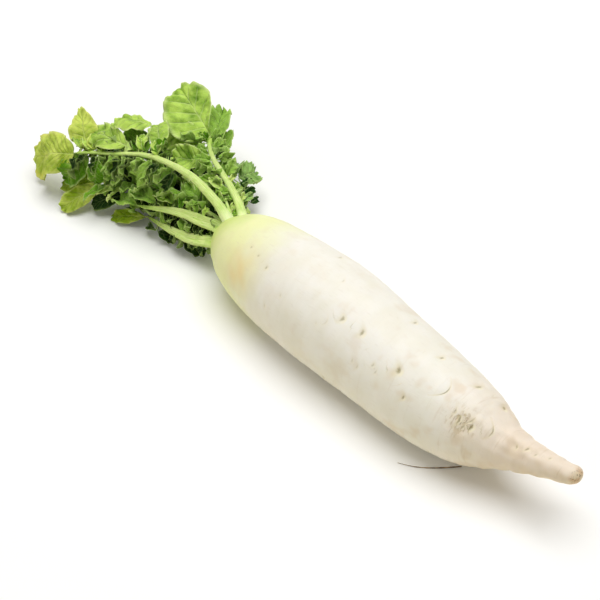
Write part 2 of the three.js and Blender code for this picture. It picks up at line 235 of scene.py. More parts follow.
# Small curly lobes along each leaf's stalk, in groups: [material slot, tone, how many, stretch of the
# stalk, their lengths in mm, how far they reach up, or down where it is under 0, share of them on
# the near side, width against length].
SMALL_LOBES = {
    "leaf_1": [
        [DEEP, 0.8, 28, (0.4, 0.97), (10, 16), (-1.4, -0.5), 0.5, 0.5],
        [FRESH, 0.4, 13, (0.5, 0.98), (10, 14), (-0.3, 0.6), 0, 0.6],
        [YELLOW, 0.6, 6, (0.84, 0.99), (9, 12), (-0.2, 0.3), 0, 0.6],
    ],
    "leaf_2": [
        [DEEP, 1.1, 30, (0.3, 0.98), (9, 14), (-1.1, 0.3), 0.5, 0.6],
        [FRESH, 0.2, 4, (0.86, 1.0), (8, 11), (-0.4, 0.2), 1, 0.6],
        [TENDER, 0.5, 12, (0.1, 0.45), (4, 7), (-0.9, 0.1), 0.5, 0.6],
    ],
    "leaf_3": [
        [DEEP, 0.2, 16, (0.2, 0.98), (6, 9), (-1.4, -0.5), 0, 0.6],
        [FRESH, 0.6, 7, (0.25, 0.9), (8, 12), (0, 0.4), 0, 0.4],
    ],
    "leaf_4": [
        [DEEP, 0.1, 30, (0.12, 1.0), (8, 12), (-0.5, 0.9), 0, 0.7],
        # Painted shade: these lobes hang under the stalk, dark as the shade there.
        [DEEP, -0.5, 12, (0.15, 0.7), (5, 8), (-2.4, -1.2), 0.6, 0.6],
    ],
    "leaf_5": [[BLUE, 0.4, 10, (0.6, 0.95), (6, 9), (-0.1, 0.8), 0.5, 0.6]],
    "leaf_6": [
        [DEEP, 1.0, 30, (0.25, 0.98), (10, 16), (-0.5, 0.9), 0.5, 0.5],
        [TENDER, 0.0, 16, (0.38, 0.95), (14, 24), (0.2, 0.9), 0.45, 0.26],
    ],
    "leaf_7": [[TENDER, 0.5, 7, (0.2, 0.9), (4, 6), (-0.4, 0.6), 0.5, 0.6]],
    # Painted shade: dark lobes that fill the shadowed gaps under the other leaves.
    "leaf_8": [[DEEP, -0.5, 18, (0.2, 0.95), (12, 18), (0.1, 1.2), 0.5, 0.8]],
}

# How a stalk is shaped, in shares of its width. channel: how deep its upper side is hollowed. roll:
# how far that side leans to the near side in degrees.
ROUND = dict(depth=0.85, channel=0.1, roll=0)
STRAP = dict(depth=0.55, channel=0.2, roll=40)
STALKS = {
    "leaf_1": dict(ROUND, channel=0.05),
    "leaf_2": dict(ROUND, channel=0.08),
    "leaf_3": STRAP,
    "leaf_4": STRAP,
    "leaf_5": ROUND,
    "leaf_6": ROUND,
    "leaf_7": dict(ROUND, depth=0.9),
    "leaf_8": ROUND,
}

# ---- The rootlet's sizes ----

ROOTLET_POINTS = 40
ROOTLET_SIDES = 8
ROOTLET_WIDTH = 0.8
ROOTLET_BOW = 4  # how far its middle bows to the near side
ROOTLET_HEIGHT = 0.5

# ---- The view and the light ----

CAMERA_AZIMUTH = 48.7
CAMERA_ELEVATION = 40
CAMERA_DISTANCE = 1.2
CAMERA_LENS = 110
CAMERA_SENSOR = 36
CAMERA_TARGET = Vector((-0.0215, -0.0068, 0.0368))
FLOOR_SIZE = 16.0
FLOOR_SEEN = (0.98, 0.98, 0.98, 1)
FLOOR_GLOW_RISE = (0.3, 0.9, 0.04, 1.0)  # from this distance to that in metres, and the glow at each
FLOOR_BOUNCE = (0.97, 0.93, 0.78, 1)
WORLD_SEEN = (1, 1, 1, 1)
WORLD_LIGHT = (0.165, 0.155, 0.125, 1)
KEY_LIGHT = dict(place=(-0.07, 0.19, 2.2), power=53, size=2.5)  # metres and watts
FILL_LIGHT = dict(place=(-0.9, -1.8, 1.1), power=5, size=1.6)


# ---- Shape tools ----

def unit(vectors):
    """Each vector at length 1."""
    return vectors / np.maximum(np.linalg.norm(vectors, axis=-1, keepdims=True), 1e-9)


def smooth_curve(points, shares):
    """Points at these shares of the length of the smooth curve through points."""
    points = np.asarray(points, float)
    padded = np.vstack([2 * points[0] - points[1], points, 2 * points[-1] - points[-2]])
    local = np.linspace(0, 1, CURVE_STEPS, endpoint=False)[:, None]
    dense = []
    for before, start, end, after in zip(padded, padded[1:], padded[2:], padded[3:]):
        slope = end - before
        bend = 2 * before - 5 * start + 4 * end - after
        turn = 3 * start - before - 3 * end + after
        dense.append(start + (slope * local + bend * local**2 + turn * local**3) / 2)
    dense = np.vstack([*dense, points[-1:]])
    lengths = np.concatenate([[0], np.cumsum(np.linalg.norm(np.diff(dense, axis=0), axis=1))])
    targets = np.asarray(shares) * lengths[-1]
    return np.stack([np.interp(targets, lengths, values) for values in dense.T], axis=1)


def curve_length(points):
    return np.linalg.norm(np.diff(points, axis=0), axis=1).sum()


def tangents_of(line):
    """The direction of a line at each of its points."""
    return unit(np.gradient(line, axis=0))


def wobble(points, size, seed):
    """Smooth seeded noise from about -1 to 1, with lumps about size across."""
    generator = np.random.default_rng(seed)
    total = np.zeros(points.shape[:-1])
    for _ in range(NOISE_WAVES):
        direction = unit(generator.normal(size=points.shape[-1]))
        wave = direction * math.tau / (size * generator.uniform(0.7, 1.6))
        total += np.sin(points @ wave + generator.uniform(0, math.tau))
    return total / (NOISE_WAVES / 2)


def smoothstep(low, high, value):
    share = np.clip((value - low) / (high - low), 0, 1)
    return share * share * (3 - 2 * share)


def keep_above(heights, floor, margin, softness):
    """Heights in which those less than margin above the floor are bent up so that none reaches it."""
    over = np.minimum(heights - floor - margin, 0)
    return np.where(over < 0, floor + margin * np.exp(over / softness), heights)


def skin_faces(count, sides, offset):
    """Faces of a closed skin over rings of points, whose two cap points come last."""
    row = np.arange(count - 1)[:, None] * sides
    side = np.arange(sides)[None, :]
    after = (side + 1) % sides
    quads = np.stack([row + side, row + after, row + sides + after, row + sides + side], axis=-1)
    faces = (quads.reshape(-1, 4) + offset).tolist()
    pairs = [(int(one), int(other)) for one, other in zip(side[0], after[0])]
    cap = offset + count * sides
    last = offset + (count - 1) * sides
    faces += [(cap, offset + other, offset + one) for one, other in pairs]
    faces += [(cap + 1, last + one, last + other) for one, other in pairs]
    return faces


def with_caps(values):
    """Values at the rings' points, and their means for the two cap points."""
    return np.concatenate([values.reshape(-1), [values[0].mean(), values[-1].mean()]])


def signed_volume(mesh):
    """The mesh's volume, or minus that where its faces point in."""
    solid = bmesh.new()
    solid.from_mesh(mesh)
    volume = solid.calc_volume(signed=True)
    solid.free()
    return volume


def add_object(name, data):
    """A new object in the scene."""
    made = bpy.data.objects.new(name, data)
    bpy.context.scene.collection.objects.link(made)
    return made


def add_piece(name, skins, material, slot, *nodes):
    """One mesh of closed skins, each a pair: rings of points in mm, and the values at its points.

    It moves with the radish, shows a record material and stands for these CAD nodes. Its slot is not
    used.
    """
    points, faces = [], []
    for rings, _ in skins:
        count, sides = rings.shape[:2]
        faces += skin_faces(count, sides, sum(len(part) for part in points))
        points.append(np.vstack([rings.reshape(-1, 3), rings[0].mean(0), rings[-1].mean(0)]) * MM)
    mesh = bpy.data.meshes.new(name)
    mesh.from_pydata(np.vstack(points).tolist(), [], faces)
    for label in skins[0][1]:
        parts = [with_caps(np.broadcast_to(values[label], rings.shape[:2])) for rings, values in skins]
        flat = np.concatenate(parts).astype(np.float32)
        mesh.attributes.new(label, "FLOAT", "POINT").data.foreach_set("value", flat)
    mesh.polygons.foreach_set("use_smooth", [True] * len(mesh.polygons))
    mesh.materials.append(material)
    mesh.update()
    if signed_volume(mesh) < 0:
        mesh.flip_normals()
    piece = add_object(name, mesh)
    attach(piece, "root")
    if nodes:
        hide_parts(*nodes)


# ---- Reading the CAD frame ----

def cad_points(name):
    """The node's corner points in mm, each once."""
    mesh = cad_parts[name].data
    flat = np.empty(len(mesh.vertices) * 3)
    mesh.vertices.foreach_get("co", flat)
    return np.unique(np.round(flat.reshape(-1, 3) / MM, 3), axis=0)


def root_sections():
    """Rows of [x, radius, centre y, centre z] along the CAD root."""
    points = cad_points("root")
    facet = math.cos(math.pi / ROOT_CAD_SIDES)
    sections = []
    for x in np.unique(points[:, 0]):
        ring = points[points[:, 0] == x]
        radius = np.ptp(ring[:, 1]) / 2 / facet
        centre_y = (ring[:, 1].max() + ring[:, 1].min()) / 2
        sections.append([x, radius, centre_y, ring[:, 2].max() - radius * facet])
    return np.array(sections)


def stalk_line(name):
    """The CAD stalk's middle points and widths, from the crown outwards."""
    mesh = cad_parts[name].data
    points = np.array([vertex.co for vertex in mesh.vertices]) / MM
    edges = np.array([edge.vertices for edge in mesh.edges])
    centred = points - points.mean(0)
    axis = np.linalg.svd(centred, full_matrices=False)[2][0]
    axis *= -np.sign(axis[0]) or 1  # outwards, towards -X
    heights = points @ axis
    start, end = heights[edges[:, 0]], heights[edges[:, 1]]
    width = np.median(np.ptp(centred - np.outer(centred @ axis, axis), axis=0)) / 2
    levels = np.linspace(heights.min() + min(width, 6), heights.max() - 0.5, STALK_LEVELS)
    middles = []
    rings = []
    for level in levels:
        crossing = (start - level) * (end - level) < 0
        share = ((level - start) / np.where(end == start, 1, end - start))[crossing, None]
        ring = points[edges[crossing, 0]] * (1 - share) + points[edges[crossing, 1]] * share
        middles.append((ring.max(0) + ring.min(0)) / 2)
        rings.append(ring)
    middles = np.array(middles)
    tangents = tangents_of(middles)
    sides = unit(np.cross([0, 0, 1], tangents))
    widths = [np.ptp(ring @ side) for ring, side in zip(rings, sides)]
    return middles, np.array(widths)


def blade_rows(name, stalk_middles):
    """The CAD blade's middle line from its base, its width and the way its upper face looks."""
    points = cad_points(name)
    normals = np.array([polygon.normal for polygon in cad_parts[name].data.polygons])
    reaches = points @ normals.T
    in_high = (reaches > reaches.max(0) - TOUCHING).sum(0)
    in_low = (reaches < reaches.min(0) + TOUCHING).sum(0)
    end_faces = (in_high == BLADE_CAD_POINTS) & (in_low == BLADE_CAD_POINTS)
    chosen = np.argmax(np.where(end_faces, np.ptp(reaches, axis=0), 0))
    axis, heights = normals[chosen], reaches[:, chosen]
    shares = (heights - heights.min()) / np.ptp(heights)
    angles = np.arccos(np.clip(1 - 2 * shares, -1, 1))
    row_of = np.round(angles * BLADE_CAD_ROWS / math.pi).astype(int)
    rows = [points[row_of == row] for row in range(BLADE_CAD_ROWS + 1)]
    middles = np.array([row.mean(0) for row in rows])
    to_stalk = [np.linalg.norm(stalk_middles - middles[end], axis=1).min() for end in (0, -1)]
    to_crown = [np.linalg.norm(stalk_middles[0] - middles[end]) for end in (0, -1)]
    if to_stalk[1] + BASE_PULL * to_crown[1] < to_stalk[0] + BASE_PULL * to_crown[0]:
        rows, middles, axis = rows[::-1], middles[::-1], -axis
    spans = []
    for row in rows:
        flat = row - row.mean(0)
        across = np.linalg.svd(flat - np.outer(flat @ axis, axis), full_matrices=False)[2][0]
        spans.append((np.ptp(flat @ across), across))
    width, across = max(spans, key=lambda span: span[0])
    upper = np.cross(axis, across)
    bow = (middles[1:-1] - middles[0]) @ upper
    if bow.sum() < 0:
        upper = -upper
    centres = []
    for row, (span, _) in zip(rows, spans):
        sideways = (row - row.mean(0)) @ across
        centres.append(row[np.abs(sideways) < span * 0.1].mean(0))
    return np.array(centres), width, upper


# ---- Colours ----

def colour(red, green, blue):
    """A screen colour, 0 to 255, as Blender's linear one."""
    shares = np.array([red, green, blue]) / 255
    linear = np.where(shares <= 0.04045, shares / 12.92, ((shares + 0.055) / 1.055) ** 2.4)
    return (*linear.tolist(), 1.0)


def palette(**shades):
    """Screen colours by name."""
    return SimpleNamespace(**{name: colour(*shade) for name, shade in shades.items()})


# rim is a painted highlight on one side of each mark.
SKIN = palette(
    flesh=(246, 243, 235), dull=(240, 236, 223), pale_crown=(240, 243, 182), crown=(208, 228, 118),
    tail=(238, 222, 203), patch=(222, 202, 172), crease=(206, 186, 154), fibre=(214, 204, 190),
    ochre=(242, 216, 146), wrinkled=(222, 198, 152), wrinkle=(186, 160, 112), halo=(224, 210, 162),
    rim=(250, 244, 218), hollow=(160, 148, 108), crust=(238, 222, 194), dry_crust=(222, 190, 152),
    speck=(140, 112, 72),
)
STALK = palette(
    green=(202, 234, 112), pale=(236, 250, 170), root_end=(244, 252, 204), outer=(182, 222, 80),
    patch=(172, 212, 80),
)
LEAF_COLOURS = {
    YELLOW: palette(dark=(128, 158, 20), light=(206, 222, 104), vein=(226, 238, 142)),
    FRESH: palette(dark=(80, 130, 4), light=(190, 222, 100), vein=(216, 234, 156)),
    DEEP: palette(dark=(14, 44, 0), light=(148, 188, 76), vein=(194, 222, 134)),
    BLUE: palette(dark=(24, 68, 10), light=(158, 196, 108), vein=(198, 224, 150)),
    TENDER: palette(dark=(118, 170, 36), light=(208, 232, 126), vein=(234, 246, 176)),
}
LEAF_YELLOW = colour(214, 196, 62)
ROOTLET = palette(dark=(112, 84, 52), light=(176, 146, 104))


# ---- Materials ----

class Nodes:
    """A node tree, with short ways to add the nodes that it is made of."""

    def __init__(self, tree):
        self.tree = tree

    def node(self, kind, inputs, **settings):
        """A new node. Each input is a value or another node's socket."""
        made = self.tree.nodes.new(kind)
        for label, value in settings.items():
            setattr(made, label, value)
        for key, value in inputs.items():
            if isinstance(value, bpy.types.NodeSocket):
                self.tree.links.new(value, made.inputs[key])
            else:
                made.inputs[key].default_value = value
        return made

    def math(self, operation, first, second=0.0):
        return self.node("ShaderNodeMath", {0: first, 1: second}, operation=operation).outputs[0]

    def times(self, first, second):
        return self.math("MULTIPLY", first, second)

    def plus(self, first, second):
        return self.math("ADD", first, second)

    def minus(self, first, second):
        return self.math("SUBTRACT", first, second)

    def attribute(self, name):
        return self.node("ShaderNodeAttribute", {}, attribute_name=name).outputs["Fac"]

    def place(self, stretch=(1, 1, 1)):
        """The point's place in metres, with each axis stretched."""
        where = self.node("ShaderNodeTexCoord", {}).outputs["Object"]
        return self.node("ShaderNodeMapping", {"Vector": where, "Scale": stretch}).outputs[0]

    def noise_at(self, place, scale, detail):
        inputs = {"Vector": place, "Scale": scale, "Detail": detail}
        return self.node("ShaderNodeTexNoise", inputs).outputs[0]

    def noise(self, size, detail=3.0, stretch=(1, 1, 1)):
        """Noise from 0 to 1 with lumps about size mm across."""
        return self.noise_at(self.place(stretch), 1 / (size * MM), detail)

    def drift(self, size, reach, detail=3.0):
        """Noise on both sides of 0, reach from end to end."""
        return self.times(self.minus(self.noise(size, detail), 0.5), reach)

    def cells(self, size):
        """Distance from the walls of cells about size mm across."""
        inputs = {"Vector": self.place(), "Scale": 1 / (size * MM)}
        made = self.node("ShaderNodeTexVoronoi", inputs, feature="DISTANCE_TO_EDGE")
        return made.outputs["Distance"]

    def fade(self, value, low, high, start=0.0, end=1.0):
        """start where the value is low, end where it is high, and smooth between them."""
        inputs = {"Value": value, "From Min": low, "From Max": high, "To Min": start, "To Max": end}
        return self.node("ShaderNodeMapRange", inputs, interpolation_type="SMOOTHSTEP").outputs[0]

    def mix(self, share, first, second):
        inputs = {0: share, 6: first, 7: second}
        return self.node("ShaderNodeMix", inputs, data_type="RGBA").outputs[2]

    def seen(self):
        """1 for what the eye sees, straight or reflected or through glass, and 0 for light on things."""
        rays = self.node("ShaderNodeLightPath", {}).outputs
        either = self.math("MAXIMUM", rays["Is Camera Ray"], rays["Is Glossy Ray"])
        return self.math("MAXIMUM", either, rays["Is Transmission Ray"])


class Shader(Nodes):
    """One material, whose colour and relief are laid on coat by coat."""

    def __init__(self, name, base, **settings):
        self.material = bpy.data.materials.new(name)
        self.material.use_nodes = True
        super().__init__(self.material.node_tree)
        self.surface = self.tree.nodes["Principled BSDF"]
        self.base = base
        self.relief = {}
        for label, value in settings.items():
            self.surface.inputs[label.replace("_", " ")].default_value = value

    def paint(self, shade, *shares):
        """One more coat of colour, as thick as these shares multiplied."""
        self.base = self.mix(reduce(self.times, shares), self.base, shade)

    def bump(self, height, distance):
        """One more layer of relief, whose height of 0 to 1 stands for distance mm."""
        inputs = {"Height": height, "Distance": distance * MM, **self.relief}
        self.relief = {"Normal": self.node("ShaderNodeBump", inputs).outputs[0]}

    def finish(self, **sockets):
        """The material, with its colour, its relief and these sockets linked to its surface."""
        for label, socket in {"Base_Color": self.base, **self.relief, **sockets}.items():
            self.tree.links.new(socket, self.surface.inputs[label.replace("_", " ")])
        return self.material


def root_material():
    shader = Shader(
        "daikon_skin", SKIN.flesh, Subsurface_Weight=0.2, Subsurface_Radius=(1.0, 0.85, 0.6),
        Subsurface_Scale=0.004, Specular_IOR_Level=0.35,
    )

    # Flesh that turns green towards the crown and tan towards the tail.
    split = shader.node("ShaderNodeSeparateXYZ", {0: shader.place()})
    x = shader.plus(shader.times(split.outputs[0], 1 / MM), shader.drift(38, 46))
    shader.paint(SKIN.dull, shader.fade(shader.noise(24), 0.3, 0.7))
    shader.paint(SKIN.pale_crown, shader.fade(x, -30, -80))
    shader.paint(SKIN.crown, shader.fade(x, -80, -110, 0, 0.95))
    shader.paint(SKIN.tail, shader.fade(x, 108, 175, 0, 0.9))

    # Tan patches, creases that run round the root, fibres along it and an ochre stain.
    patches = shader.fade(shader.noise(15, 2), 0.5, 0.7)
    shader.paint(SKIN.patch, patches, shader.fade(x, -20, 160, 0.12, 0.5))
    creases = shader.noise(2.6, 5, (1, 0.12, 0.12))
    shader.paint(SKIN.crease, shader.fade(creases, 0.58, 0.78), shader.fade(x, 70, 170, 0.08, 0.45))
    fibres = shader.noise(1.1, 4, (0.16, 1, 1))
    shader.paint(SKIN.fibre, shader.fade(fibres, 0.55, 0.8, 0, 0.22))
    shader.paint(SKIN.ochre, shader.attribute("ochre"), 0.8)

    # The patch of fine wrinkles near the tail.
    wrinkled = shader.attribute("wrinkled")
    wrinkles = shader.fade(shader.noise(1.5, 4, (1, 0.4, 0.25)), 0.52, 0.62)
    in_patch = shader.times(wrinkled, wrinkles)
    shader.paint(SKIN.wrinkled, wrinkled, 0.35)
    shader.paint(SKIN.wrinkle, in_patch, 0.6)

    # Each old rootlet's mark: a dim hollow, with a painted highlight as a pale rim on the side towards
    # the tail, where the dimple faces the light.
    along = shader.plus(shader.attribute("mark_along"), shader.drift(1.4, 1.4))
    across = shader.attribute("mark_round")
    strong = shader.math("MINIMUM", shader.attribute("mark_depth"), 1.0)

    def near_mark(shift, inner, outer):
        """1 up to inner times the mark's half size and 0 past outer, round a point shifted along."""
        moved = shader.minus(along, shift)
        squares = shader.plus(shader.times(moved, moved), shader.times(across, across))
        return shader.times(shader.fade(shader.math("SQRT", squares), outer, inner), strong)

    hollow = near_mark(0.0, 0.1, 1.3)
    shader.paint(SKIN.halo, near_mark(0.0, 0.5, 3.4), 0.4)
    # Painted highlight: the pale rim on each mark's side towards the tail.
    shader.paint(SKIN.rim, near_mark(1.6, 0.3, 1.6), 0.6)
    shader.paint(SKIN.hollow, hollow, 0.8)

    # The dry crust on the cut end.
    crust = shader.mix(shader.fade(shader.noise(5, 2), 0.4, 0.62), SKIN.crust, SKIN.dry_crust)
    crust = shader.mix(shader.fade(shader.noise(1.2, 3), 0.56, 0.66, 0, 0.7), crust, SKIN.speck)
    shader.paint(crust, shader.attribute("cut"))

    shader.bump(creases, 0.12)
    shader.bump(shader.noise(0.7, 3), 0.05)
    shader.bump(in_patch, -0.35)
    shader.bump(hollow, -0.5)
    return shader.finish(Roughness=shader.fade(shader.noise(9, 4), 0.3, 0.7, 0.4, 0.56))


def stalk_material():
    shader = Shader(
        "leaf_stalk", STALK.green, Subsurface_Weight=0.25, Subsurface_Radius=(0.8, 1.0, 0.4),
        Subsurface_Scale=0.002, Specular_IOR_Level=0.5,
    )
    along = shader.attribute("along")
    axes = {0: shader.times(along, 0.012), 1: shader.attribute("around")}
    place = shader.node("ShaderNodeCombineXYZ", axes).outputs[0]
    streaks = shader.noise_at(place, 9.0, 3.0)
    ribs = shader.noise_at(place, 16.0, 2.0)
    shader.paint(STALK.pale, shader.fade(streaks, 0.35, 0.65))
    shader.paint(STALK.root_end, shader.fade(along, 16, 0, 0, 0.9))
    shader.paint(STALK.outer, shader.fade(shader.attribute("outward"), 0.4, 1, 0, 0.8))
    shader.paint(STALK.patch, shader.fade(shader.noise(7), 0.5, 0.75, 0, 0.4))
    shader.bump(ribs, 0.35)
    shader.bump(shader.noise(0.8, 2), 0.08)
    return shader.finish(Roughness=shader.fade(streaks, 0.3, 0.7, 0.38, 0.5))


def leaf_material(name, shades):
    shader = Shader(
        name, shades.dark, Subsurface_Weight=0.12, Subsurface_Radius=(0.7, 1.0, 0.25),
        Subsurface_Scale=0.0012, Specular_IOR_Level=0.07,
    )
    tone = shader.plus(shader.attribute("tone"), shader.drift(9, 2.1))
    shader.paint(shades.light, shader.fade(tone, 0, 1))
    shader.paint(LEAF_YELLOW, shader.attribute("yellow"), shader.fade(shader.noise(6), 0.3, 0.6))

    # The veins: the midrib, the side veins that thin out to the rim, and a faint net between them. Last
    # comes a painted highlight along the rim.
    rim = shader.attribute("rim")
    phase = shader.math("FRACT", shader.attribute("phase"))
    from_vein = shader.math("ABSOLUTE", shader.minus(phase, 0.5))
    from_vein = shader.math("DIVIDE", from_vein, shader.fade(rim, 0, 1, 0.16, 0.05))
    side_vein = shader.minus(1.0, shader.math("MINIMUM", from_vein, 1.0))
    side_vein = shader.times(side_vein, shader.fade(rim, 1, 0.7))
    net = shader.fade(shader.cells(2.6), 0.12, 0.02)
    vein = shader.math("MAXIMUM", shader.attribute("rib"), shader.times(side_vein, 0.75))
    vein = shader.math("MAXIMUM", vein, shader.times(net, 0.14))
    strength = shader.fade(tone, -0.4, 0.6, 0.4, 1)
    shader.paint(shades.vein, vein, shader.times(strength, 0.6))
    shader.paint(shades.vein, shader.attribute("under"), 0.35)
    # Painted highlight: the vein colour laid along the rim as a lit edge.
    shader.paint(shades.vein, shader.fade(rim, 0.8, 1, 0, 0.7), strength)

    shader.bump(shader.minus(1.0, vein), 0.5)
    shader.bump(shader.noise(1.2, 3), 0.18)
    return shader.finish(Roughness=shader.fade(shader.noise(4), 0.3, 0.7, 0.5, 0.68))


def rootlet_material():
    shader = Shader("rootlet", ROOTLET.dark, Specular_IOR_Level=0.2)
    shader.paint(ROOTLET.light, shader.fade(shader.noise(3), 0.35, 0.65))
    shader.bump(shader.noise(0.6), 0.1)
    return shader.finish(Roughness=shader.fade(shader.noise(2), 0.3, 0.7, 0.6, 0.8))


# ---- The root ----

def marks_at(x, angle, radius):
    """The old rootlets' marks: how deep each point lies, and its place from the nearest mark.

    The place is the distance along the root as a share of the mark's half width, the distance round
    it as a share of its half length, and the mark's depth.
    """
    generator = np.random.default_rng(4)
    hidden = [[generator.uniform(*limits) for limits in HIDDEN_RANGES] for _ in range(HIDDEN_MARKS)]
    depth = 0 * x
    nearest = depth + FAR_FROM_MARK
    mark_along, mark_round, mark_depth = nearest.copy(), nearest.copy(), 0 * x
    for mark_x, mark_angle, length, width, cut in MARKS + hidden:
        turn = (angle - mark_angle + 180) % 360 - 180
        around = np.radians(turn) * radius
        slant = generator.uniform(-MARK_SLANT, MARK_SLANT)
        bend = generator.uniform(*MARK_BEND)
        along = x - mark_x - slant * around + bend * around**2
        dimple = np.exp(-((along / DIMPLE) ** 2) - (around / (length * 0.75)) ** 2)
        depth += DIMPLE_DEPTH * cut * dimple
        distance = np.hypot(x - mark_x, around)
        closer = distance < nearest
        nearest = np.where(closer, distance, nearest)
        mark_along = np.where(closer, along / (width / 2), mark_along)
        mark_round = np.where(closer, around / (length / 2), mark_round)
        mark_depth = np.where(closer, cut, mark_depth)
    return depth, {"mark_along": mark_along, "mark_round": mark_round, "mark_depth": mark_depth}


def root_rings(stalk_seats):
    """The root's skin: rings of points, and the values that colour it."""
    even = np.linspace(0, 1, ROOT_ROWS)
    shares = END_ROWS * (1 - np.cos(math.pi * even)) / 2 + (1 - END_ROWS) * even
    sections = smooth_curve(root_sections(), shares)
    x, radius, centre_y, centre_z = (column[:, None] for column in sections.T)
    angle = np.linspace(0, 360, ROOT_SIDES, endpoint=False)[None, :]
    x, angle = x + 0 * angle, angle + 0 * x
    end = np.clip((x - x.max() + TIP_ROUND) / TIP_ROUND, 0, 1)
    tip_radius = np.interp(x.max() - TIP_ROUND, x[:, 0], radius[:, 0])
    radius = np.maximum(np.where(end > 0, tip_radius * np.sqrt(1 - end**2.6), radius), THINNEST)
    zero = 0 * x
    outward = np.stack([zero, -np.cos(np.radians(angle)), np.sin(np.radians(angle))], axis=-1)
    skin = np.stack([x, centre_y + zero, centre_z + zero], axis=-1) + outward * radius[..., None]

    # Broad lumps, fine creases that run round the root, and deeper folds by the tail.
    depth, marks = marks_at(x, angle, radius)
    tail = smoothstep(TAIL_START - 40, TAIL_START + 10, x)
    lumps = 0.45 * wobble(skin, 60, 1) + 0.15 * wobble(skin, 22, 2)
    creases = 0.12 * wobble(skin * [1, 0.15, 0.15], 5, 3) * (1 + 1.4 * tail)
    folds = tail * (0.35 * wobble(skin, 9, 5) + 0.16 * wobble(skin * [1, 0.4, 0.4], 3.2, 6))
    height = (lumps + creases) * smoothstep(0, 14, radius) + folds * smoothstep(0, 5, radius) - depth

    # The crown is uneven, and swells round each stalk that it carries.
    crown = smoothstep(CROWN_EDGE, CROWN_EDGE - 22, x)
    height += crown * 0.3 * wobble(skin * [1, 0.3, 0.3], 6, 9)
    for seat, width in stalk_seats:
        distance = np.linalg.norm(skin - seat, axis=-1)
        height += SEAT_SWELL * np.exp(-((distance / (width * 0.75)) ** 2))
    skin = skin + outward * height[..., None]
    skin[..., 2] = keep_above(skin[..., 2], 0, BELLY_HEIGHT, 2 * BELLY_HEIGHT)

    def patch(place, place_angle, length, width):
        return np.exp(-(((x - place) / length) ** 2) - (((angle - place_angle) / width) ** 2))

    ochre = patch(*OCHRE_PATCH) * (0.75 + 0.25 * wobble(skin, 12, 10))
    values = {
        **marks,
        "wrinkled": patch(*WRINKLED_PATCH),
        "ochre": np.clip(ochre, 0, 1),
        "cut": smoothstep(CUT_END - 2, CUT_END + 2.5, x + 0.8 * wobble(skin, 3, 7)),
    }
    return skin, values


# ---- Stalks ----

def stalk_rings(middles, widths, depth, channel, roll):
    """A stalk's skin: rings round its middle line, channelled above and wider at the crown."""
    root_end = middles[0] - unit(middles[1] - middles[0]) * (STALK_DEPTH + widths[0] * 0.5)
    line = np.vstack([root_end, middles])
    shares = np.linspace(0, 1, STALK_ROWS)
    path = smooth_curve(line, shares)
    width = np.interp(shares, np.linspace(0, 1, len(line)), [widths[0], *widths])
    distance = shares * curve_length(line)
    tangents = tangents_of(path)
    level = unit(np.cross([0, 0, 1], tangents))
    turn = math.radians(roll)
    sides = level * math.cos(turn) - np.cross(tangents, level) * math.sin(turn)
    overs = np.cross(tangents, sides)
    flare, flare_place, flare_length = STALK_FLARE
    flare = 1 + flare * np.exp(-(((distance - flare_place) / flare_length) ** 2))
    tip = smoothstep(distance[-1] - width[-1] * 1.2, distance[-1], distance)
    end = np.sqrt(np.clip(1 - tip**2, 0.05, 1))

    # Each ring's outline: ribbed, with a channel along the upper side.
    angle = np.linspace(0, math.tau, STALK_SIDES, endpoint=False)[None, :]
    along = distance[:, None] + 0 * angle
    half = (width * flare * end / 2)[:, None]
    unrolled = np.stack([along, 9 * angle + 0 * half], axis=-1)
    ribs = 1 + STALK_RIB_HEIGHT * np.cos(STALK_RIBS * angle) + 0.02 * wobble(unrolled, 14, 3)
    hollow = channel * 2 * half * np.clip(np.sin(angle), 0, 1)
    hollow = hollow * np.exp(-((np.cos(angle) / 0.5) ** 2))
    across = half * np.cos(angle) * ribs
    above = half * depth * np.sin(angle) * ribs - hollow
    rings = path[:, None] + sides[:, None] * across[..., None] + overs[:, None] * above[..., None]
    values = {
        "around": np.abs(angle - math.pi) + 0 * half,
        "along": along,
        "outward": (shares[:, None] + 0 * angle) ** 2,
    }
    return rings, values, path


# ---- Leaf blades ----

def blade_outline(share, half, skew, style):
    """Half the blade's width at each share of its length: a wedge from the base, then a round end."""
    widest = style.widest + skew
    square = style.square * (1 - SKEW_SQUARE * np.maximum(skew, 0))
    base = style.base * (1 + SKEW_BASE * np.maximum(skew, 0))
    to_base = np.clip((widest - share) / widest, 0, 1)
    to_tip = np.clip((share - widest) / (1 - widest), 0, 1)
    return half * (1 - to_base**2) ** base * (1 - to_tip**square) ** (1 / square)


